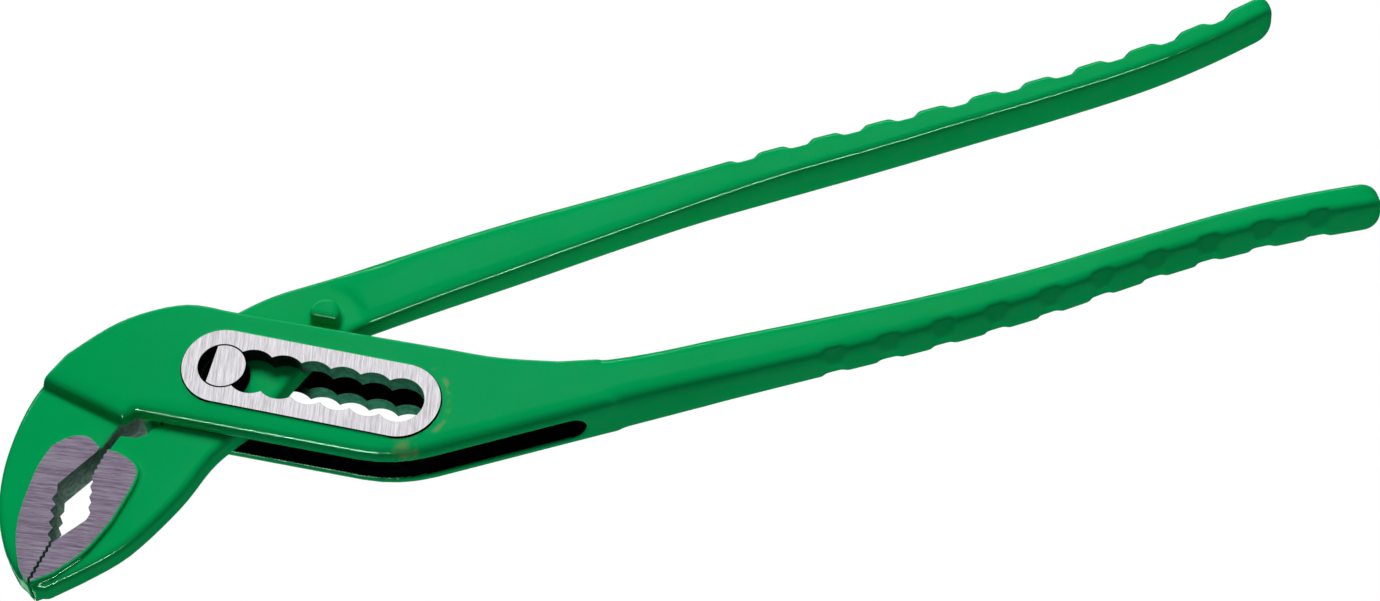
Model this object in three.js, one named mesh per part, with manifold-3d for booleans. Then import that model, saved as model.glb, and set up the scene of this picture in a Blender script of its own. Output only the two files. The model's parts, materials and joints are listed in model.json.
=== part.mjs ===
// Adjustable box-joint pliers (tongue and groove pliers), 250 mm size.
// Three forged or turned pieces: the outer arm (left jaw, slotted box, lower handle), the inner
// arm (right jaw, thin web that runs through the box, upper handle) and the pivot pin.
// Millimetres. The pin's axis is the z axis, z = 0 is the ground face that the tool lies on,
// +x runs along the handles and +y points to the inner arm's handle.

import * as THREE from 'three';
import { mergeVertices } from 'three/addons/utils/BufferGeometryUtils.js';
import Module from 'manifold-3d';

const wasm = await Module();
wasm.setup();

// ---- Driving dimensions ----

// Thicknesses: everything is symmetric about the middle plane of the box.
const BOX_THICKNESS = 13;
const MIDDLE = BOX_THICKNESS / 2;
const PLATEAU_HEIGHT = 0.5;
const CHEEK_HALF = MIDDLE - PLATEAU_HEIGHT;
const GAP_HALF = 2.9;
const WEB_HALF = 2.6;
const LEFT_FLANK_HALF = 3.3;
const PAD_HALF = 3.6;
const GRIP_HALF = 4.75;

// Rounding of the outer edges of each flat-sided part. The cheeks are worked rounder along the
// side that the jaws and the slit are on.
const CHEEK_ROUND = 2.2;
const CHEEK_FAR_ROUND = 0.8;
const FLANK_ROUND = 1.4;
const WEB_ROUND = 1.2;
const LEFT_PAD_ROUND = 0.3;
const RIGHT_PAD_ROUND = 0.8;
const PLATEAU_ROUND = 0.35;
const STUD_ROUND = 0.9;

// Slot of overlapping round holes, one for each position of the pin.
const POSITIONS = 7;
const PITCH = 5.5;
const HOLE_RADIUS = 4.4;
const SLOT_ANGLE = THREE.MathUtils.degToRad(-29);
const PLATEAU_RADIUS = 7.4;
const TRAVEL = (POSITIONS - 1) * PITCH;

// Round end of the web beside the pin.
const WEB_DISC_RADIUS = 8.6;
const WEB_DISC_START = Math.PI + 0.45;
const WEB_DISC_END = Math.PI - 1.1;

// Pivot pin: round in the web, D-shaped in the cheeks.
const PIN_RADIUS = 4.25;
const PIN_FLAT = 2;

// Jaws: the parting line runs from the tips to the noses.
const JAW_GAP = 0.35;
const TIP = [-41.8, -31];
const CONTACT_END = [-36.2, -24.2];
const NOSE = [-24.4, -8.7];
const LEFT_TOOTH_DEPTH = 0.85;
const RIGHT_TOOTH_DEPTH = 0.5;
const FINE_TOOTH_DEPTH = 0.3;

// Stop stud on the web, given along and across the slot from the pin. Its flat faces the slot, and
// the thick handle starts outside a ring round it.
const STUD_ALONG = 14.4;
const STUD_ACROSS = 15.2;
const STUD_RADIUS = 2.8;
const STUD_FLAT = 1.4;
const STUD_HALF = 6.1;
const STUD_RING = 7.4;

// Window between the cheeks for the web. Beside the pin its wall is an arc that the web turns in.
const WINDOW_LEFT = -12.6;
const WINDOW_RIGHT = 56.8;
const SWEEP_RADIUS = 12.8;
const SWEEP_START = Math.PI - 0.31;
const SWEEP_END = Math.PI + 0.38;

// Grip notches along the outer edge of each handle: tapered scoops in its top and bottom corners.
const NOTCHES = 10;
const NOTCH_PITCH = 10.1;
const OUTER_NOTCH_DEPTH = 1.25;
const OUTER_FIRST_NOTCH = 105.4;
const INNER_NOTCH_DEPTH = 1.8;
const INNER_FIRST_NOTCH = 100.9;
const NOTCH_RADIUS = 3.2;
const NOTCH_WIDENING = 1.25;
const NOTCH_SIDES = 8;

// Fineness of curves, and a size that reaches past every solid.
const CURVE_STEPS = 4;
const BEVEL_STEPS = 3;
const HOLE_SIDES = 40;
const BAR_SIDES = 28;
const BAR_ROWS = 64;
const CLEAR = 60;

// ---- Solids ----

function toSolid(geometry) {
  const bare = geometry.index ? geometry.toNonIndexed() : geometry;
  bare.deleteAttribute('normal');
  bare.deleteAttribute('uv');
  const merged = mergeVertices(bare, 1e-4);
  return new wasm.Manifold(new wasm.Mesh({
    numProp: 3,
    vertProperties: merged.attributes.position.array,
    triVerts: merged.index.array,
  }));
}

function toGeometry(solid) {
  const { vertProperties, triVerts } = solid.getMesh();
  const geometry = new THREE.BufferGeometry();
  geometry.setAttribute('position', new THREE.BufferAttribute(vertProperties, 3));
  geometry.setIndex(new THREE.BufferAttribute(triVerts, 1));
  geometry.computeVertexNormals();
  return geometry;
}

const join = (solids) => solids.reduce((all, next) => all.add(next));
const cut = (solid, tools) => tools.reduce((rest, tool) => rest.subtract(tool), solid);

const vectors = (points) => points.map(([x, y]) => new THREE.Vector2(x, y));

// Flat-sided solid of a shape, standing symmetrically about the middle plane. round softens the
// outer edges inwards by that radius.
function plate(shape, half, round = 0) {
  const geometry = new THREE.ExtrudeGeometry(shape, {
    depth: 2 * (half - round),
    steps: 1,
    curveSegments: CURVE_STEPS,
    bevelEnabled: round > 0,
    bevelThickness: round,
    bevelSize: round,
    bevelOffset: -round,
    bevelSegments: BEVEL_STEPS,
  });
  geometry.translate(0, 0, MIDDLE - half + round);
  return toSolid(geometry);
}

function polygon(points) {
  return new THREE.Shape(vectors(points));
}

// Point at a distance along and across the slot, counted from the pin.
function slotPoint(along, across) {
  return new THREE.Vector2(along, across).rotateAround(new THREE.Vector2(), SLOT_ANGLE);
}

// Saw teeth between two points, pointing to the left of the way from start to end.
function teeth(start, end, count, depth) {
  const [from, to] = vectors([start, end]);
  const step = to.clone().sub(from).divideScalar(count);
  const side = new THREE.Vector2(-step.y, step.x).normalize().multiplyScalar(depth);
  const points = [];
  for (let i = 0; i < count; i += 1) {
    const crest = from.clone().addScaledVector(step, i);
    const root = crest.clone().addScaledVector(step, 0.5).add(side);
    points.push(crest.toArray(), root.toArray());
  }
  return points;
}

// Forged bar along x. Each station is [x, upper edge, lower edge, half thickness]; the section is
// a superellipse, and the far end is a dome that closes through nearly a quarter turn.
function bar(stations) {
  const SQUARENESS = 4.4;
  const DOME_LENGTH = 3.5;
  const DOME_START = 0.84;
  const DOME_TURN = 1.4;
  const DOME_FULLNESS = 0.7;
  const positions = stations.map(([x]) => x);
  const values = stations.flatMap(([, upper, lower, half]) => [upper, lower, half]);
  const profile = new THREE.CubicInterpolant(positions, values, 3, new Float32Array(3));
  const start = positions[0];
  const end = positions[positions.length - 1];

  const geometry = new THREE.CylinderGeometry(1, 1, 1, BAR_SIDES, BAR_ROWS);
  const point = geometry.attributes.position;
  const power = (value) => {
    const size = Math.abs(value) < 1e-6 ? 0 : Math.abs(value) ** (2 / SQUARENESS);
    return Math.sign(value) * size;
  };
  for (let i = 0; i < point.count; i += 1) {
    const t = 0.5 - point.getY(i);
    const dome = Math.max(0, (t - DOME_START) / (1 - DOME_START)) * DOME_TURN;
    const flat = Math.min(1, t / DOME_START);
    const x = start + (end - DOME_LENGTH - start) * flat + DOME_LENGTH * Math.sin(dome);
    const [upper, lower, half] = profile.evaluate(Math.min(x, end));
    const size = Math.cos(dome) ** DOME_FULLNESS;
    const width = power(point.getX(i)) * size * (upper - lower) / 2;
    const height = power(point.getZ(i)) * size * half;
    point.setXYZ(i, x, (upper + lower) / 2 + width, MIDDLE + height);
  }
  return { solid: toSolid(geometry), profile };
}

// Notches cut into the top and bottom corners of a handle's outer edge. side is +1 for the upper
// edge and -1 for the lower edge of the bar. Each tool is an eight-sided cone with one side along
// the handle: it is deepest at the handle's face and runs out at the middle plane.
function gripNotches(profile, firstNotch, side, depth) {
  const edge = (x) => profile.evaluate(x)[side > 0 ? 0 : 1];
  const flatSide = Math.PI / NOTCH_SIDES;
  const corner = 1 / Math.cos(flatSide);
  const narrow = NOTCH_RADIUS - depth;
  const wide = NOTCH_RADIUS + depth;
  const tools = [];
  for (let i = 0; i < NOTCHES; i += 1) {
    const x = firstNotch + i * NOTCH_PITCH;
    const y = edge(x);
    const slope = Math.atan(edge(x + 1) - y);
    for (const face of [1, -1]) {
      const tool = new THREE.CylinderGeometry(
        wide * corner, narrow * corner, 2 * GRIP_HALF, NOTCH_SIDES, 1, false, flatSide,
      );
      tool.rotateX(face * Math.PI / 2);
      tool.scale(NOTCH_WIDENING, 1, 1);
      tool.rotateZ(slope);
      tool.translate(x, y + side * narrow, MIDDLE + face * GRIP_HALF);
      tools.push(toSolid(tool));
    }
  }
  return tools;
}

// ---- Jaws: the line where they meet, and the hole that they close around ----

const FINE_CONTACT = teeth(TIP, CONTACT_END, 8, FINE_TOOTH_DEPTH);

// Left jaw's working edge, from beyond the tip to the window in the box.
const LEFT_JAW_EDGE = [
  [-46, -36.1],
  ...FINE_CONTACT,
  ...teeth(CONTACT_END, [-33.5, -15.2], 4, LEFT_TOOTH_DEPTH),
  [-33.5, -15.2],
  [-33.1, -13.5],
  [-25.2, -9.1],
  NOSE,
  [-21.6, -6.1],
  [-19.4, -4.2],
  [-17.2, -3.6],
  [-14.6, -5],
];

// Right jaw's working edge, from the web to beyond the tip.
const RIGHT_JAW_EDGE = [
  [-13.8, -5.9],
  [-15.8, -7.4],
  [-17.8, -7.6],
  [-20.5, -6.3],
  [-22.3, -7.8],
  [-23.4, -9.1],
  ...teeth([-23.4, -9.1], [-27.1, -13.6], 5, FINE_TOOTH_DEPTH),
  ...teeth([-27.1, -13.6], [-29.3, -21.6], 4, RIGHT_TOOTH_DEPTH),
  [-29.6, -22],
  ...FINE_CONTACT.slice().reverse().map(([x, y]) => [x + JAW_GAP, y - JAW_GAP]),
  [-46 + JAW_GAP, -36.1 - JAW_GAP],
];

// ---- Outer arm ----

function outerArm() {
  const nearSide = () => {
    const shape = new THREE.Shape();
    shape.moveTo(-19.4, -5.2);
    shape.lineTo(-17, -4.25);
    shape.lineTo(19, -23.7);
    shape.quadraticCurveTo(25.2, -27, 32, -27);
    shape.lineTo(66, -27.1);
    return shape;
  };
  const cheeks = nearSide();
  cheeks.lineTo(66, -17.6);
  cheeks.lineTo(58, -15.75);
  cheeks.splineThru(vectors([[48, -11.95], [39.8, -7.7]]));
  cheeks.lineTo(3.6, 11.4);
  cheeks.splineThru(vectors([[-4.2, 15.2], [-15.6, 15.1], [-26.6, 11.1]]));
  cheeks.lineTo(-32, 7);
  const softCheeks = nearSide();
  softCheeks.lineTo(66, -12);
  softCheeks.lineTo(4, 20);
  softCheeks.lineTo(-20, 24);
  softCheeks.lineTo(-36.2, 11.1);

  const jaw = new THREE.Shape();
  jaw.moveTo(-6, 12);
  jaw.splineThru(vectors([
    [-16, 14], [-26, 11.4], [-33.9, 6], [-40.6, -4], [-44.2, -14], [-44.8, -22.6], [-43.6, -28.7],
  ]));
  jaw.lineTo(-41.2, -32.6);
  jaw.lineTo(-24, -24);
  jaw.lineTo(-6, -8);

  const pad = new THREE.Shape();
  pad.moveTo(-41.8, -31.4);
  pad.splineThru(vectors([[-42.9, -27.6], [-41.6, -19.2], [-36.6, -9.8], [-32.6, -5.4]]));
  pad.splineThru(vectors([[-29, -4.6], [-26, -5.6], [-24.4, -8.4]]));
  pad.lineTo(-30, -24);

  const window = new THREE.Shape();
  window.moveTo(WINDOW_LEFT, CLEAR);
  window.lineTo(WINDOW_LEFT, 3.9);
  window.absarc(0, 0, SWEEP_RADIUS, SWEEP_START, SWEEP_END);
  window.lineTo(-14.6, -5);
  window.lineTo(-20, -CLEAR);
  window.lineTo(WINDOW_RIGHT, -CLEAR);
  window.lineTo(WINDOW_RIGHT, CLEAR);

  const mouth = polygon(LEFT_JAW_EDGE);
  mouth.absarc(0, 0, SWEEP_RADIUS, SWEEP_END, SWEEP_START, true);
  mouth.lineTo(WINDOW_LEFT, CLEAR);
  mouth.lineTo(CLEAR, CLEAR);
  mouth.lineTo(CLEAR, -CLEAR);

  const windowEnd = new THREE.CylinderGeometry(GAP_HALF, GAP_HALF, 2 * CLEAR, HOLE_SIDES);
  windowEnd.translate(WINDOW_RIGHT, 0, MIDDLE);

  const handle = bar([
    [46, -12, -27, CHEEK_HALF],
    [60, -15.9, -27.1, CHEEK_HALF],
    [72, -17.7, -27.1, 5.8],
    [87, -18.3, -27.3, 5.2],
    [105, -19.25, -27.6, GRIP_HALF],
    [125, -20.3, -27.7, GRIP_HALF],
    [145, -20.45, -27, GRIP_HALF],
    [164, -19.65, -25.3, GRIP_HALF],
    [180, -19.1, -24.6, GRIP_HALF],
    [194, -19.4, -25.1, GRIP_HALF],
    [208.5, -20.7, -26.4, GRIP_HALF],
  ]);

  const upSlot = SLOT_ANGLE + Math.PI / 2;
  const slotEnd = slotPoint(TRAVEL, 0);
  const plateau = new THREE.Shape();
  plateau.absarc(0, 0, PLATEAU_RADIUS, upSlot, upSlot - Math.PI);
  plateau.absarc(slotEnd.x, slotEnd.y, PLATEAU_RADIUS, upSlot - Math.PI, upSlot);

  const holes = [];
  for (let i = 0; i < POSITIONS; i += 1) {
    const centre = slotPoint(i * PITCH, 0);
    const hole = new THREE.CylinderGeometry(HOLE_RADIUS, HOLE_RADIUS, CLEAR, HOLE_SIDES);
    hole.rotateX(Math.PI / 2);
    hole.translate(centre.x, centre.y, 0);
    holes.push(toSolid(hole));
  }

  const box = cut(join([
    plate(cheeks, CHEEK_HALF, CHEEK_FAR_ROUND).intersect(plate(softCheeks, CHEEK_HALF, CHEEK_ROUND)),
    plate(plateau, MIDDLE, PLATEAU_ROUND),
    handle.solid,
  ]), [
    plate(window, GAP_HALF),
    toSolid(windowEnd),
    ...holes,
  ]);
  const leftJaw = join([
    plate(jaw, LEFT_FLANK_HALF, FLANK_ROUND),
    plate(pad, PAD_HALF, LEFT_PAD_ROUND),
  ]);
  const whole = box.add(leftJaw.subtract(plate(mouth, CLEAR)));
  return cut(whole, gripNotches(handle.profile, OUTER_FIRST_NOTCH, -1, OUTER_NOTCH_DEPTH));
}

// ---- Inner arm ----

function innerArm() {
  const web = new THREE.Shape();
  web.moveTo(4.3, 12.8);
  web.splineThru(vectors([[12, 14.5], [24, 15.1], [36, 16]]));
  web.lineTo(36, 4.9);
  web.lineTo(25, 3);
  web.splineThru(vectors([[17.8, 0.4], [10.8, -4.3], [5, -9.6], [-1, -12.4]]));
  web.splineThru(vectors([[-6.2, -15.5], [-13.2, -21.7], [-23.8, -28.5], [-32.8, -31.4]]));
  web.lineTo(-39.2, -32.8);
  web.lineTo(-41.2, -32.1);
  web.lineTo(-43, -31);
  web.lineTo(-34, -20);
  web.lineTo(-20, -4);
  web.lineTo(-13.4, -6);
  web.absarc(0, 0, WEB_DISC_RADIUS, WEB_DISC_START, WEB_DISC_END, true);

  const pad = new THREE.Shape();
  pad.moveTo(-24.6, -7.4);
  pad.lineTo(-21.6, -9.6);
  pad.splineThru(vectors([[-18.9, -13.2], [-19.4, -16.8], [-25.2, -23.8]]));
  pad.splineThru(vectors([[-31, -28.4], [-37.4, -31.1]]));
  pad.lineTo(-43, -31.8);
  pad.lineTo(-40, -27);
  pad.lineTo(-30, -12);

  const handle = bar([
    [23, 14.7, 2.7, 2.9],
    [36, 15.9, 4.3, 3.3],
    [56, 17, 6.3, 3.7],
    [75, 17.3, 8.3, 3.8],
    [90, 17.6, 9.7, 4.1],
    [106, 17.8, 10.6, GRIP_HALF],
    [125, 17.8, 11.2, GRIP_HALF],
    [142, 17.9, 12, GRIP_HALF],
    [160, 18.3, 12.8, GRIP_HALF],
    [178, 19.5, 14.2, GRIP_HALF],
    [190, 21.2, 16.2, GRIP_HALF],
    [203, 24, 19.3, GRIP_HALF],
  ]);

  const stud = slotPoint(STUD_ALONG, STUD_ACROSS);
  const ring = new THREE.Shape();
  ring.absarc(stud.x, stud.y, STUD_RING, 0, 2 * Math.PI);
  const peg = new THREE.Shape();
  const towardsSlot = SLOT_ANGLE - Math.PI / 2;
  const halfFlat = Math.acos(STUD_FLAT / STUD_RADIUS);
  peg.absarc(stud.x, stud.y, STUD_RADIUS, towardsSlot + halfFlat, towardsSlot - halfFlat);
  const finePeg = new THREE.Shape(peg.getPoints(2 * CURVE_STEPS));

  const bore = new THREE.CylinderGeometry(HOLE_RADIUS, HOLE_RADIUS, CLEAR, HOLE_SIDES);
  bore.rotateX(Math.PI / 2);

  const mouth = plate(polygon([
    ...RIGHT_JAW_EDGE,
    [-CLEAR, -CLEAR],
    [-CLEAR, CLEAR],
    [-13.7, CLEAR],
  ]), CLEAR);

  const grip = cut(handle.solid, [
    plate(ring, CLEAR),
    ...gripNotches(handle.profile, INNER_FIRST_NOTCH, 1, INNER_NOTCH_DEPTH),
  ]);
  const body = join([
    plate(web, WEB_HALF, WEB_ROUND),
    plate(pad, PAD_HALF, RIGHT_PAD_ROUND),
    grip,
  ]);
  return cut(body, [mouth, toSolid(bore)]).add(plate(finePeg, STUD_HALF, STUD_ROUND));
}

// ---- Pivot pin ----

function pivotPin() {
  const round = new THREE.CylinderGeometry(PIN_RADIUS, PIN_RADIUS, BOX_THICKNESS, HOLE_SIDES);
  round.rotateX(Math.PI / 2);
  round.translate(0, 0, MIDDLE);
  const length = MIDDLE - WEB_HALF;
  const flat = new THREE.BoxGeometry(2 * PIN_RADIUS, 3 * PIN_RADIUS, length);
  flat.translate(-PIN_FLAT - PIN_RADIUS, 0, 0);
  flat.rotateZ(SLOT_ANGLE);
  const heights = [length / 2, BOX_THICKNESS - length / 2];
  const flats = heights.map((z) => toSolid(flat.clone().translate(0, 0, z)));
  return cut(toSolid(round), flats);
}

// ---- Assembly ----

const paint = { color: 0x05924e, roughness: 0.3, metalness: 0 };
const steel = { color: 0xd6d3d6, roughness: 0.35, metalness: 1 };

const pliers = new THREE.Group();
const pieces = [
  ['outer_arm', outerArm(), paint],
  ['inner_arm', innerArm(), paint],
  ['pivot_pin', pivotPin(), steel],
];
for (const [name, solid, finish] of pieces) {
  const mesh = new THREE.Mesh(toGeometry(solid), new THREE.MeshStandardMaterial(finish));
  mesh.name = name;
  pliers.add(mesh);
}

export default pliers;
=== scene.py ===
"""Looks of the tongue and groove pliers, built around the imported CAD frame.

Metres, +Z up, in the frame of the CAD part. Each arm is a copy of its CAD node with the soft edges
of a painted forging, and its ground faces, its slot and its teeth are added as crisp shells.
"""
import json
import math

import bmesh
import bpy
import numpy as np
from mathutils import Matrix, Vector


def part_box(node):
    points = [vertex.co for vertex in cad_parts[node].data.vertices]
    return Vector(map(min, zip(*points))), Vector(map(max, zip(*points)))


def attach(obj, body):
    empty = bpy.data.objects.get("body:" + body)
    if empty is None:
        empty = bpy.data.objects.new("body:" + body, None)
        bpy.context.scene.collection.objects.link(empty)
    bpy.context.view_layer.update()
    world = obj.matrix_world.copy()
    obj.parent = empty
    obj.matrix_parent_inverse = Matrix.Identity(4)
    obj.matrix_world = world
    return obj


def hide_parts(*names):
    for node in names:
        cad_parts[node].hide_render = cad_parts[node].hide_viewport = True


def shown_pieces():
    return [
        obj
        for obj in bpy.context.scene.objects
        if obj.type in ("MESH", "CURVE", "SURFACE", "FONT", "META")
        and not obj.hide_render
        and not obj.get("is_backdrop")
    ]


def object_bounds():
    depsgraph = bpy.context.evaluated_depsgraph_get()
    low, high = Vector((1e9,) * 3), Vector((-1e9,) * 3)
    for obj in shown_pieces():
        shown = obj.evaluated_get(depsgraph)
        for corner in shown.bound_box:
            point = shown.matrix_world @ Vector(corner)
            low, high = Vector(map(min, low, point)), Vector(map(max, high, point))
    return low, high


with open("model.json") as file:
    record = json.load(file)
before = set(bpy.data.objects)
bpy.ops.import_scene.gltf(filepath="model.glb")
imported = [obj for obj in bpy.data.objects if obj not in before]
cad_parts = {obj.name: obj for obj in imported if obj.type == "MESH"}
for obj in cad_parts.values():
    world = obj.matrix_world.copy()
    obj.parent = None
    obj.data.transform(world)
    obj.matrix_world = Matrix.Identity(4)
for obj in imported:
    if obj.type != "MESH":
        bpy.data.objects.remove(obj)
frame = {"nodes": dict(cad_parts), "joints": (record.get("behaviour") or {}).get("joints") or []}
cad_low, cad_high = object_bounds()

MM = 0.001

# ---- Dimensions shared with the CAD part, in millimetres ----

slide = next(joint for joint in frame["joints"] if joint["name"] == "slot_slide")
SLOT_ANGLE = math.atan2(slide["axis"][1], slide["axis"][0])
TRAVEL = slide["range_m"][1] / MM
POSITIONS = 7
PITCH = TRAVEL / (POSITIONS - 1)
BOX_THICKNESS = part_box("pivot_pin")[1].z / MM
MIDDLE = BOX_THICKNESS / 2
CHEEK_HALF = 6
GAP_HALF = 2.9
WEB_HALF = 2.6
PAD_HALF = 3.6
HOLE_RADIUS = 4.4
PLATEAU_RADIUS = 7.4
PIN_RADIUS = 4.25
PIN_FLAT = 2

# Working edges of the jaws, from the tips to the noses.
JAW_GAP = 0.35
TIP = (-41.8, -31)
CONTACT_END = (-36.2, -24.2)
LEFT_TEETH = (CONTACT_END, (-33.5, -15.2), 4, 0.85)
RIGHT_TEETH = ((-27.1, -13.6), (-29.3, -21.6), 4, 0.5)
NOSE_TEETH = ((-23.4, -9.1), (-27.1, -13.6), 5, 0.3)
FINE_TEETH = (TIP, CONTACT_END, 8, 0.3)

# Working edges between the noses and the box, and the end of the window in the box.
LEFT_NOSE = [(-24.4, -8.7), (-21.6, -6.1), (-19.4, -4.2), (-17.2, -3.6), (-14.6, -5)]
RIGHT_NOSE = [(-13.8, -5.9), (-15.8, -7.4), (-17.8, -7.6), (-20.5, -6.3), (-22.3, -7.8), (-23.4, -9.1)]
WINDOW_RIGHT = 56.8

# The relief between the jaws: its walls are bare steel beyond this place along X, inside this height.
RELIEF_REACH = 1.3
RELIEF_END = -16
RELIEF_HALF_HEIGHT = 3.4
RIGHT_RELIEF_REACH = 0.7

# Left end of the nearly black painted shade inside the box, and how far the painted shade reaches past the
# window's walls.
BOX_INSIDE_LEFT = -13.2
SHADE_MARGIN = 0.12

# How far the crisp shells reach into the forgings, and how fine the forgings are.
OVERLAP = 0.9
VOXEL = 0.28
ROUNDING_PASSES = 14
FAIRING_PASSES = 80
WEIGHT_LEVELS = 20
SHARP_ANGLE = 28

# Colour of the reflected edge lights on the paint.
GLINT = (0.5, 1.0, 0.7)

# Brightness of the surroundings by height, from straight down at -1 to straight up at 1.
SKY = [(-1, 1.3), (1, 0.2), (-0.35, 0.85), (-0.08, 0.03), (0.45, 0.03), (0.75, 0.15)]

# The main view: the lens in millimetres, where the camera stands, and the directions of its frame.
LENS = 120.05
CAMERA_PLACE = (17.9, -429.4, 716.1)
CAMERA_RIGHT = (0.96549, -0.25326, -0.06076)
CAMERA_UP = (0.24792, 0.82222, 0.51234)


# ---- Plan outlines, as lists of (x, y) in millimetres ----

def spline(points, steps=8):
    """Catmull-Rom curve through the points."""
    p = [np.array(point, float) for point in points]
    curve = []
    for i in range(len(p) - 1):
        before, start, end, after = p[max(i - 1, 0)], p[i], p[i + 1], p[min(i + 2, len(p) - 1)]
        for k in range(steps):
            t = k / steps
            curve.append(
                0.5 * (2 * start + (end - before) * t
                       + (2 * before - 5 * start + 4 * end - after) * t ** 2
                       + (3 * start - before - 3 * end + after) * t ** 3)
            )
    return [tuple(point) for point in curve] + [tuple(p[-1])]


def arc(centre, radius, start, end, steps):
    """Points on an arc between two angles in degrees."""
    angles = np.radians(np.linspace(start, end, steps + 1))
    return [(centre[0] + radius * math.cos(a), centre[1] + radius * math.sin(a)) for a in angles]


def teeth(start, end, count, depth):
    """Saw teeth between two points, pointing to the left of the way from start to end."""
    start, end = np.array(start, float), np.array(end, float)
    step = (end - start) / count
    side = np.array([-step[1], step[0]]) / np.hypot(*step) * depth
    points = []
    for i in range(count):
        points += [tuple(start + step * i), tuple(start + step * (i + 0.5) + side)]
    return points


def turned(points):
    """The points turned about the pin's axis, from the X axis to the slot's direction."""
    c, s = math.cos(SLOT_ANGLE), math.sin(SLOT_ANGLE)
    return [(x * c - y * s, x * s + y * c) for x, y in points]


def outwards(points):
    """Unit vectors that point out of a closed outline at its corners, scaled to keep an offset even."""
    p = np.array(points)
    ahead = np.roll(p, -1, 0) - p
    ahead /= np.hypot(ahead[:, 0], ahead[:, 1])[:, None]
    normal = np.stack([ahead[:, 1], -ahead[:, 0]], 1)
    mean = normal + np.roll(normal, 1, 0)
    mean /= np.hypot(mean[:, 0], mean[:, 1])[:, None]
    lean = np.clip((mean * normal).sum(1), 0.5, 1)
    return mean / lean[:, None]


def anticlockwise(points):
    p = np.array(points)
    area = (p[:, 0] * np.roll(p[:, 1], -1) - p[:, 1] * np.roll(p[:, 0], -1)).sum()
    return points if area > 0 else points[::-1]


def stadium(radius):
    """Outline at one distance round the slot's centre line."""
    return turned(arc((TRAVEL, 0), radius, -90, 90, 48) + arc((0, 0), radius, 90, 270, 48))


def slot_outline():
    """Edge of the seven overlapping holes."""
    neck = math.degrees(math.acos(PITCH / 2 / HOLE_RADIUS))
    upper = []
    for i in reversed(range(POSITIONS)):
        first = 0 if i == POSITIONS - 1 else neck
        last = 180 if i == 0 else 180 - neck
        upper += arc((i * PITCH, 0), HOLE_RADIUS, first, last, 24)[:-1]
    lower = [(x, -y) for x, y in upper[:0:-1]]
    return turned(upper + [(-HOLE_RADIUS, 0)] + lower)


LEFT_PAD = (
    spline([(-41.8, -31.4), (-42.9, -27.6), (-41.6, -19.2), (-36.6, -9.8), (-32.6, -5.4)])
    + spline([(-32.6, -5.4), (-29, -4.6), (-26, -5.6), (-24.4, -8.4)])[1:]
)
LEFT_EDGE = teeth(*FINE_TEETH) + teeth(*LEFT_TEETH) + [(-33.5, -15.2), (-33.1, -13.5), (-25.2, -9.1)]
RIGHT_PAD = (
    spline([(-21.6, -9.6), (-18.9, -13.2), (-19.4, -16.8), (-25.2, -23.8)])
    + spline([(-25.2, -23.8), (-31, -28.4), (-37.4, -31.1)])[1:]
    + [(-41.6, -31.6)]
)
RIGHT_EDGE = (
    [(x + JAW_GAP, y - JAW_GAP) for x, y in teeth(*FINE_TEETH)]
    + [(-29.6, -22)]
    + (teeth(*NOSE_TEETH) + teeth(*RIGHT_TEETH))[::-1]
)


# ---- Meshes ----

def new_piece(name, mesh, *materials):
    piece = bpy.data.objects.new(name, mesh)
    bpy.context.scene.collection.objects.link(piece)
    for material in materials:
        mesh.materials.append(material)
    return piece


def wall(bm, rings, material=0):
    """Side faces between rings of vertices, each ring as long as the next."""
    for low, high in zip(rings, rings[1:]):
        for i in range(len(low)):
            j = (i + 1) % len(low)
            face = bm.faces.new((low[i], low[j], high[j], high[i]))
            face.material_index = material


def ring(bm, points, height):
    return [bm.verts.new((x * MM, y * MM, height * MM)) for x, y in points]


def cap(bm, rings, up, material):
    """Flat face inside one ring, or between two."""
    edges = [bm.edges.get((r[i], r[(i + 1) % len(r)])) for r in rings for i in range(len(r))]
    made = bmesh.ops.triangle_fill(bm, use_beauty=True, use_dissolve=False, edges=edges)
    for face in made["geom"]:
        if isinstance(face, bmesh.types.BMFace):
            face.material_index = material
            face.normal_update()
            if (face.normal.z > 0) != up:
                face.normal_flip()


def prism(bm, outline, levels, side=0, ends=1):
    """Closed solid with one plan outline. Each level is (offset, height): the offset moves the
    outline outwards, by one amount or by one for each point."""
    outline = anticlockwise(outline)
    p, out = np.array(outline), outwards(outline)
    rings = [ring(bm, p + out * np.reshape(offset, (-1, 1)), height) for offset, height in levels]
    wall(bm, rings, side)
    cap(bm, [rings[0]], False, ends)
    cap(bm, [rings[-1]], True, ends)


def finished(bm, name, *materials):
    """A piece of the mesh, smooth but for its real edges."""
    mesh = bpy.data.meshes.new(name)
    bm.to_mesh(mesh)
    bm.free()
    mesh.polygons.foreach_set("use_smooth", [True] * len(mesh.polygons))
    mesh.set_sharp_from_angle(angle=math.radians(SHARP_ANGLE))
    return new_piece(name, mesh, *materials)


def apply_modifiers(piece):
    graph = bpy.context.evaluated_depsgraph_get()
    mesh = bpy.data.meshes.new_from_object(piece.evaluated_get(graph))
    piece.modifiers.clear()
    piece.data = mesh


def face_vectors(mesh, field):
    """The centre or the normal of each face."""
    data = np.empty(len(mesh.polygons) * 3, np.float32)
    mesh.polygons.foreach_get(field, data)
    return data.reshape(-1, 3)


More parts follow.
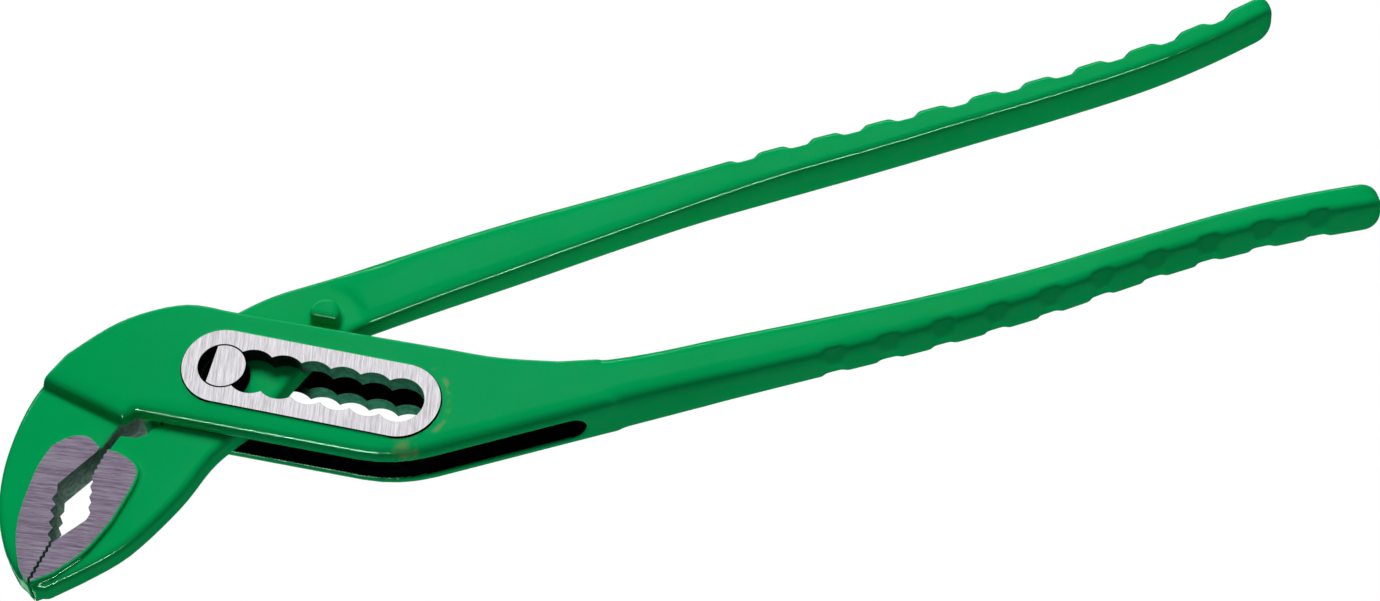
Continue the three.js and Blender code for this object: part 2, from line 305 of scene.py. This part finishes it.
def smooth(piece, passes, weights=None):
    """Works the surface smooth, everywhere or by a weight from 0 to 1 for each vertex."""
    modifier = piece.modifiers.new("smooth", "SMOOTH")
    modifier.factor = 0.5
    modifier.iterations = passes
    if weights is not None:
        group = piece.vertex_groups.new(name="flat")
        levels = np.round(weights * WEIGHT_LEVELS).astype(int)
        for level in range(1, WEIGHT_LEVELS + 1):
            found = np.nonzero(levels == level)[0]
            if len(found):
                group.add(found.tolist(), level / WEIGHT_LEVELS, "REPLACE")
        modifier.vertex_group = "flat"
    apply_modifiers(piece)
    piece.vertex_groups.clear()


def flatness(mesh):
    """1 where the surface turns slowly, as across the facets of a curve, and 0 at real edges."""
    pairs = np.empty(len(mesh.edges) * 2, np.int32)
    mesh.edges.foreach_get("vertices", pairs)
    a, b = pairs.reshape(-1, 2).T
    normals = np.array([n.vector for n in mesh.vertex_normals], np.float32)
    turn = np.linalg.norm(normals[a] - normals[b], axis=1)
    count = len(mesh.vertices)
    for _ in range(3):
        most = np.zeros(count, np.float32)
        np.maximum.at(most, a, turn)
        np.maximum.at(most, b, turn)
        turn = np.maximum(most[a], most[b])
    t = np.clip((0.14 - most) / 0.07, 0, 1)
    return t * t * (3 - 2 * t)


def forging(node, name, cutters, *materials):
    """Copy of a CAD node with its sharp edges and facets worked smooth, less the cutters."""
    bm = bmesh.new()
    bm.from_mesh(frame["nodes"][node].data)
    bmesh.ops.remove_doubles(bm, verts=bm.verts, dist=1e-7)
    mesh = bpy.data.meshes.new(name)
    bm.to_mesh(mesh)
    bm.free()
    piece = new_piece(name, mesh)
    for cutter in cutters:
        cut = piece.modifiers.new("cut", "BOOLEAN")
        cut.operation = "DIFFERENCE"
        cut.solver = "MANIFOLD"
        cut.object = cutter
    remesh = piece.modifiers.new("remesh", "REMESH")
    remesh.mode = "VOXEL"
    remesh.voxel_size = VOXEL * MM
    apply_modifiers(piece)
    for cutter in cutters:
        bpy.data.objects.remove(cutter)
    smooth(piece, ROUNDING_PASSES)
    smooth(piece, FAIRING_PASSES, flatness(piece.data))
    piece.data.polygons.foreach_set("use_smooth", [True] * len(piece.data.polygons))
    piece.data.materials.clear()
    for material in materials:
        piece.data.materials.append(material)
    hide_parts(node)
    return piece


def mark(piece, index, chosen):
    """Gives one of the piece's materials to the faces that are chosen by centre and normal."""
    centres = face_vectors(piece.data, "center") / MM
    normals = face_vectors(piece.data, "normal")
    indices = np.zeros(len(piece.data.polygons), np.int32)
    piece.data.polygons.foreach_get("material_index", indices)
    indices[chosen(centres, normals)] = index
    piece.data.polygons.foreach_set("material_index", indices)


def beside(centres, edge, reach):
    """True for centres within a reach of an open plan line."""
    line = np.array(edge)
    found = np.zeros(len(centres), bool)
    for start, end in zip(line, line[1:]):
        span = end - start
        t = np.clip((centres[:, :2] - start) @ span / (span @ span), 0, 1)
        found |= np.linalg.norm(start + t[:, None] * span - centres[:, :2], axis=1) < reach
    return found


def cutter(outline):
    """Tool through the whole tool's thickness."""
    bm = bmesh.new()
    prism(bm, outline, [(0, -5), (0, BOX_THICKNESS + 5)])
    return finished(bm, "cutter")


# ---- Materials ----

class Nodes:
    """Short names for the nodes of one material."""

    def __init__(self, name):
        self.material = bpy.data.materials.new(name)
        self.material.use_nodes = True
        self.tree = self.material.node_tree
        self.shader = self.tree.nodes["Principled BSDF"]
        self.place = self.tree.nodes.new("ShaderNodeTexCoord").outputs["Object"]

    def add(self, kind, inputs=None, **settings):
        node = self.tree.nodes.new("ShaderNode" + kind)
        for key, value in settings.items():
            setattr(node, key, value)
        for key, value in (inputs or {}).items():
            self.put(node.inputs[key], value)
        return node

    def put(self, socket, value):
        if isinstance(value, bpy.types.NodeSocket):
            self.tree.links.new(value, socket)
        else:
            socket.default_value = value

    def math(self, operation, *values):
        return self.add("Math", dict(enumerate(values)), operation=operation).outputs[0]

    def noise(self, size, detail=2.0, place=None, roughness=0.5):
        """Noise with features of about that size in millimetres."""
        values = {"Vector": place or self.place, "Scale": 1 / (size * MM),
                  "Detail": detail, "Roughness": roughness}
        return self.add("TexNoise", values).outputs["Fac"]

    def spread(self, value, low, high, to_low=0.0, to_high=1.0):
        """Value between two limits, as another range."""
        values = {"Value": value, "From Min": low, "From Max": high,
                  "To Min": to_low, "To Max": to_high}
        return self.add("MapRange", values, interpolation_type="SMOOTHSTEP").outputs[0]

    def mix(self, amount, first, second):
        node = self.add("Mix", data_type="RGBA")
        self.put(node.inputs["Factor"], amount)
        self.put(node.inputs[6], first)
        self.put(node.inputs[7], second)
        return node.outputs[2]

    def bump(self, height, depth, strength=1.0, below=None):
        """Relief of that depth in millimetres."""
        values = {"Height": height, "Distance": depth * MM, "Strength": strength}
        if below is not None:
            values["Normal"] = below
        return self.add("Bump", values).outputs["Normal"]

    def surface(self, **values):
        for key, value in values.items():
            self.put(self.shader.inputs[key.replace("_", " ")], value)
        return self.material


def near(nodes, point, reach, fade):
    """1 within a reach of a point in millimetres, fading to 0."""
    away = nodes.add("VectorMath", {0: nodes.place, 1: Vector(point) * MM}, operation="DISTANCE")
    return nodes.spread(away.outputs["Value"], reach * MM, (reach + fade) * MM, 1, 0)


def paint():
    """Thick glossy green paint on a forging, thin or worn through to primer in a few places."""
    n = Nodes("green_paint")
    slot_end = (TRAVEL * math.cos(SLOT_ANGLE), TRAVEL * math.sin(SLOT_ANGLE), BOX_THICKNESS - 0.5)
    away = n.add("VectorMath", {0: n.place, 1: Vector(slot_end) * MM}, operation="DISTANCE")
    away = away.outputs["Value"]
    band = n.math("MULTIPLY", n.spread(away, 8.3 * MM, 8.7 * MM), n.spread(away, 9.1 * MM, 9.6 * MM, 1, 0))
    beyond = near(n, (slot_end[0] + 8, slot_end[1] - 2, slot_end[2]), 6, 1.5)
    arc_worn = n.math("MULTIPLY", band, beyond)
    bend_worn = near(n, (27.5, -26, BOX_THICKNESS - 1.5), 1.6, 1.2)
    blotch = n.spread(n.noise(2.2, 3), 0.38, 0.6)
    worn = n.math("MULTIPLY", n.math("MAXIMUM", arc_worn, bend_worn), blotch)
    cloud = n.spread(n.noise(22, 2), 0.3, 0.7)
    green = n.mix(cloud, (0.0, 0.43, 0.108, 1), (0.0, 0.455, 0.122, 1))
    colour = n.mix(worn, green, (0.13, 0.44, 0.13, 1))
    rough = n.spread(n.noise(2.4, 3), 0.3, 0.7, 0.1, 0.2)
    forged = n.bump(n.noise(14, 2), 0.03)
    peel = n.bump(n.noise(1.4, 2), 0.003, below=forged)
    return n.surface(Base_Color=colour, Roughness=rough, Normal=peel, Specular_IOR_Level=0.1)


def bore_paint():
    """Thin, dull overspray on the drilled walls of the slot, with painted shade darkening them round the
    pin.
    """
    n = Nodes("bore_paint")
    spray = n.spread(n.noise(1.2, 3), 0.35, 0.65)
    painted = n.mix(spray, (0.02, 0.27, 0.14, 1), (0.05, 0.40, 0.23, 1))
    # Painted shade: the walls turn nearly black within two and a half holes of the pin, where the web shuts
    # out the light.
    shade_near_pin = near(n, (0, 0, MIDDLE), 2.5 * PITCH, 3)
    colour = n.mix(shade_near_pin, painted, (0.001, 0.004, 0.002, 1))
    return n.surface(Base_Color=colour, Roughness=n.spread(n.noise(0.8), 0.3, 0.7, 0.35, 0.5),
                     Normal=n.bump(n.noise(0.5, 2), 0.01), Specular_IOR_Level=0.15)


def painted_shade_inside():
    """Painted shade for the milled inside of the box: dull and nearly black."""
    n = Nodes("painted_shade_inside")
    tone = n.spread(n.noise(1.5, 3), 0.35, 0.65)
    colour = n.mix(tone, (0.0005, 0.0015, 0.001, 1), (0.002, 0.005, 0.0035, 1))
    return n.surface(Base_Color=colour, Roughness=n.spread(n.noise(0.6), 0.3, 0.7, 0.55, 0.75),
                     Normal=n.bump(n.noise(0.4, 2), 0.015), Specular_IOR_Level=0.0)


def ground(name, angle, dark, light, rough):
    """Bare steel with the fine parallel scratches of a grinding belt. angle is their direction."""
    streak = 0.1
    n = Nodes(name)
    along = n.add("VectorRotate", {"Vector": n.place, "Angle": -angle}, rotation_type="Z_AXIS")
    line = n.add("VectorMath", {0: along.outputs[0], 1: (0.03, 1, 1)}, operation="MULTIPLY")
    fine = n.noise(streak, 2, line.outputs[0], 0.7)
    broad = n.noise(streak * 5, 2, line.outputs[0], 0.6)
    tone = n.math("ADD", n.math("MULTIPLY", fine, 0.6), n.math("MULTIPLY", broad, 0.4))
    tone = n.spread(tone, 0.34, 0.66)
    colour = n.mix(tone, (*dark, 1), (*light, 1))
    roughness = n.spread(broad, 0.3, 0.7, rough - 0.05, rough + 0.05)
    return n.surface(Base_Color=colour, Metallic=1.0, Roughness=roughness,
                     Normal=n.bump(fine, 0.012, 0.6))


def cut_steel():
    """Broached and milled walls between the jaws, oiled and thinly oversprayed with paint."""
    n = Nodes("cut_steel")
    spray = n.spread(n.noise(0.9, 3), 0.35, 0.65)
    colour = n.mix(spray, (0.10, 0.19, 0.15, 1), (0.20, 0.34, 0.28, 1))
    rough = n.spread(n.noise(0.4), 0.3, 0.7, 0.3, 0.5)
    return n.surface(Base_Color=colour, Roughness=rough, Normal=n.bump(n.noise(0.35, 3), 0.02))


GREEN = paint()
PLATEAU_STEEL = ground("ground_steel", math.radians(72), (0.48, 0.465, 0.50), (0.98, 0.96, 0.99), 0.4)
JAW_STEEL = ground("ground_jaw_steel", math.radians(-24), (0.12, 0.085, 0.14), (0.36, 0.32, 0.40), 0.42)
CUT_STEEL = cut_steel()
BORE_PAINT = bore_paint()
PAINTED_SHADE_INSIDE = painted_shade_inside()


# ---- Pieces ----

def plateau(name, top):
    """Ground face round the slot, with the slot's walls, a painted foot, and a steep edge and an underside
    in the box's gap painted nearly black as shade.
    """
    face = PLATEAU_RADIUS
    skirt = [
        (-0.4, MIDDLE + GAP_HALF),
        (-0.4, MIDDLE + CHEEK_HALF - 0.4),
        (OVERLAP, MIDDLE + CHEEK_HALF - 0.3),
        (OVERLAP, MIDDLE + CHEEK_HALF - 0.015),
        (0.5, MIDDLE + CHEEK_HALF + 0.03),
        (0.2, MIDDLE + CHEEK_HALF + 0.1),
        (0.05, MIDDLE + CHEEK_HALF + 0.24),
        (0, BOX_THICKNESS - 0.07),
        (-0.05, BOX_THICKNESS),
    ]
    bore = [(0.07, BOX_THICKNESS), (0, BOX_THICKNESS - 0.07), (0, MIDDLE + GAP_HALF)]
    bm = bmesh.new()
    outer = [ring(bm, stadium(face + offset), height) for offset, height in skirt]
    slot = slot_outline()
    p, out = np.array(slot), outwards(slot)
    inner = [ring(bm, p + out * offset, height) for offset, height in bore]
    wall(bm, outer[:6])
    # The steep edge gets the nearly black painted shade, a dark line round the plateau.
    wall(bm, outer[5:], 3)
    wall(bm, inner, 2)
    cap(bm, [outer[-1], inner[0]], True, 1)
    # The underside, facing into the box's gap, gets the painted shade too.
    cap(bm, [outer[0], inner[-1]], False, 3)
    if not top:
        for vertex in bm.verts:
            vertex.co.z = BOX_THICKNESS * MM - vertex.co.z
        bmesh.ops.reverse_faces(bm, faces=bm.faces)
    return finished(bm, name, GREEN, PLATEAU_STEEL, BORE_PAINT, PAINTED_SHADE_INSIDE)


def jaw_face(name, pad, edge, margin):
    """Ground face of a jaw with its teeth. The painted margin round the face slopes down."""
    outline = pad + edge
    slope = [margin] * len(pad) + [0.05] * len(edge)
    if anticlockwise(outline) is not outline:
        slope = slope[::-1]
    slope = -np.array(slope)
    low, high = MIDDLE - PAD_HALF, MIDDLE + PAD_HALF
    step = margin * 0.6
    levels = [(slope, low), (slope * 0.3, low + step * 0.3), (0 * slope, low + step),
              (0 * slope, high - step), (slope * 0.3, high - step * 0.3), (slope, high)]
    bm = bmesh.new()
    prism(bm, outline, levels)
    piece = finished(bm, name, GREEN, JAW_STEEL, CUT_STEEL)
    mark(piece, 2, lambda at, normal: beside(at, edge, 0.1) & (abs(normal[:, 2]) < 0.9))
    return piece


def pin():
    """Pivot pin whose sides are painted nearly black as shade: round in the web, with a flat along each
    end.
    """
    chord = math.degrees(math.acos(PIN_FLAT / PIN_RADIUS))
    half_moon = turned(arc((0, 0), PIN_RADIUS, chord - 180, 180 - chord, 72))
    circle = arc((0, 0), PIN_RADIUS, 0, 360, 96)[:-1]
    bm = bmesh.new()
    low, high = MIDDLE - WEB_HALF, MIDDLE + WEB_HALF
    prism(bm, half_moon, [(-0.08, 0), (0, 0.08), (0, low + 0.05)])
    prism(bm, circle, [(0, low), (0, high)])
    prism(bm, half_moon, [(0, high - 0.05), (0, BOX_THICKNESS - 0.08), (-0.08, BOX_THICKNESS)])
    piece = finished(bm, "pivot_pin_ground", PAINTED_SHADE_INSIDE, PLATEAU_STEEL)
    # The sides get the nearly black painted shade; the ends stay ground steel.
    mark(piece, 0, lambda at, normal: abs(at[:, 2] - MIDDLE) < MIDDLE - 0.1)
    return piece


def inset(curve, distance, closing):
    """Outline of a pad drawn in from its painted margin, closed beyond its working edge."""
    outline = anticlockwise(curve + closing)
    out = outwards(outline)
    return [tuple(p - distance * o) if tuple(p) not in closing else tuple(p)
            for p, o in zip(np.array(outline), out)]


outer = forging(
    "outer_arm", "outer_arm_forging",
    [cutter(stadium(PLATEAU_RADIUS - OVERLAP)), cutter(inset(LEFT_PAD, OVERLAP, [(-24, -12), (-30, -24)]))],
    GREEN, PAINTED_SHADE_INSIDE, CUT_STEEL,
)
mark(outer, 2, lambda at, normal: (
    beside(at, LEFT_NOSE, RELIEF_REACH) & (at[:, 0] < RELIEF_END)
    & (abs(at[:, 2] - MIDDLE) < RELIEF_HALF_HEIGHT) & (abs(normal[:, 2]) < 0.6)
))
# The faces inside the box's window get the nearly black painted shade.
mark(outer, 1, lambda at, normal: (at[:, 0] > BOX_INSIDE_LEFT) & (
    np.hypot(np.maximum(at[:, 0] - WINDOW_RIGHT, 0), at[:, 2] - MIDDLE) < GAP_HALF + SHADE_MARGIN
))
inner = forging(
    "inner_arm", "inner_arm_forging",
    [cutter(inset(RIGHT_PAD, OVERLAP + 0.5, [(-43, -31), (-40, -25), (-30, -10), (-24, -8)]))],
    GREEN, CUT_STEEL,
)
mark(inner, 1, lambda at, normal: beside(at, RIGHT_NOSE, RIGHT_RELIEF_REACH) & (abs(normal[:, 2]) < 0.5))
pivot = pin()
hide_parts("pivot_pin")

for piece, body in [
    (outer, "outer"),
    (plateau("front_plateau", True), "outer"),
    (plateau("back_plateau", False), "outer"),
    (jaw_face("left_jaw_face", LEFT_PAD, LEFT_EDGE[::-1], 0.12), "outer"),
    (inner, "inner"),
    (jaw_face("right_jaw_face", RIGHT_PAD, RIGHT_EDGE, 0.5), "inner"),
    (pivot, "pin"),
]:
    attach(piece, body)


# ---- Floor, light and camera ----

def floor():
    bm = bmesh.new()
    corners = [bm.verts.new((x, y, -0.0004)) for x, y in [(-9, -9), (9, -9), (9, 9), (-9, 9)]]
    bm.faces.new(corners)
    mesh = bpy.data.meshes.new("floor")
    bm.to_mesh(mesh)
    bm.free()
    pale = Nodes("pale_floor")
    pale.surface(Base_Color=(0.0, 0.0, 0.0, 1), Emission_Color=(1, 1, 1, 1), Emission_Strength=1.0,
                 Specular_IOR_Level=0.0)
    piece = new_piece("floor", mesh, pale.material)
    piece.visible_diffuse = False
    piece.visible_glossy = False
    piece.visible_shadow = False
    piece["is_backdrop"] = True


def sky():
    """Soft white light from above and from the pale floor, and little from the horizon."""
    world = bpy.data.worlds.new("studio")
    bpy.context.scene.world = world
    world.use_nodes = True
    tree = world.node_tree
    place = tree.nodes.new("ShaderNodeTexCoord")
    height = tree.nodes.new("ShaderNodeSeparateXYZ")
    share = tree.nodes.new("ShaderNodeMapRange")
    share.inputs["From Min"].default_value = -1
    ramp = tree.nodes.new("ShaderNodeValToRGB")
    stops = ramp.color_ramp.elements
    for at, _ in SKY[2:]:
        stops.new(at / 2 + 0.5)
    for stop, (at, strength) in zip(stops, sorted(SKY)):
        stop.position = at / 2 + 0.5
        stop.color = (strength, strength, strength, 1)
    tree.links.new(place.outputs["Generated"], height.inputs[0])
    tree.links.new(height.outputs["Z"], share.inputs["Value"])
    tree.links.new(share.outputs[0], ramp.inputs["Fac"])
    tree.links.new(ramp.outputs[0], tree.nodes["Background"].inputs["Color"])
    world.cycles_visibility.glossy = False


def panel(name, azimuth, elevation, distance, width, height, radiance, colour=(1, 1, 1),
          diffuse=True, glossy=True, only=None):
    """Soft box that faces the middle of the tool. It can light some of the pieces only.

    Angles are in degrees, lengths in metres."""
    light = bpy.data.lights.new(name, "AREA")
    light.shape = "RECTANGLE"
    light.size = width
    light.size_y = height
    light.energy = radiance * math.pi * width * height
    light.color = colour
    lamp = bpy.data.objects.new(name, light)
    a, e = math.radians(azimuth), math.radians(elevation)
    target = (cad_low + cad_high) / 2
    away = Vector((math.cos(e) * math.cos(a), math.cos(e) * math.sin(a), math.sin(e)))
    lamp.location = target + away * distance
    lamp.rotation_euler = away.to_track_quat("Z", "Y").to_euler()
    lamp.visible_diffuse = diffuse
    lamp.visible_glossy = glossy
    lamp.visible_camera = False
    if only is not None:
        lamp.light_linking.receiver_collection = only
    bpy.context.scene.collection.objects.link(lamp)


def camera():
    data = bpy.data.cameras.new("camera")
    data.sensor_width = 36
    data.lens = LENS
    data.clip_start = 0.01
    data.clip_end = 50
    eye = bpy.data.objects.new("camera", data)
    bpy.context.scene.collection.objects.link(eye)
    right = Vector(CAMERA_RIGHT)
    up = Vector(CAMERA_UP)
    back = right.cross(up)
    matrix = Matrix((right, up, back)).transposed().to_4x4()
    matrix.translation = Vector(CAMERA_PLACE) * MM
    eye.matrix_world = matrix
    bpy.context.scene.camera = eye


floor()
sky()
steel = bpy.data.collections.new("steel")
painted = bpy.data.collections.new("painted")
inner_painted = bpy.data.collections.new("inner_painted")
inner_painted.objects.link(inner)
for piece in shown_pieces():
    (painted if piece in (outer, inner) else steel).objects.link(piece)
panel("key", 80, 57, 1.1, 0.45, 0.45, 14.0, glossy=False)
panel("steel_sheen", 81, 59, 1.2, 2.4, 1.6, 1.08, diffuse=False, only=steel)
panel("steel_sheen_behind", -99, 45, 1.2, 2.4, 1.2, 0.6, diffuse=False, only=steel)
panel("ridge_line", -90, 30, 1.2, 1.2, 0.10, 200.0, GLINT, diffuse=False, only=inner_painted)
panel("box_line", -131, 29, 1.2, 0.35, 0.16, 160.0, GLINT, diffuse=False, only=painted)
panel("far_line", 95, 18, 1.2, 1.4, 0.10, 20.0, GLINT, diffuse=False, only=painted)
panel("left_glint", 171, -50, 1.0, 1.0, 0.3, 2.0, GLINT, diffuse=False, only=painted)
camera()
bpy.context.scene.view_settings.view_transform = "Standard"
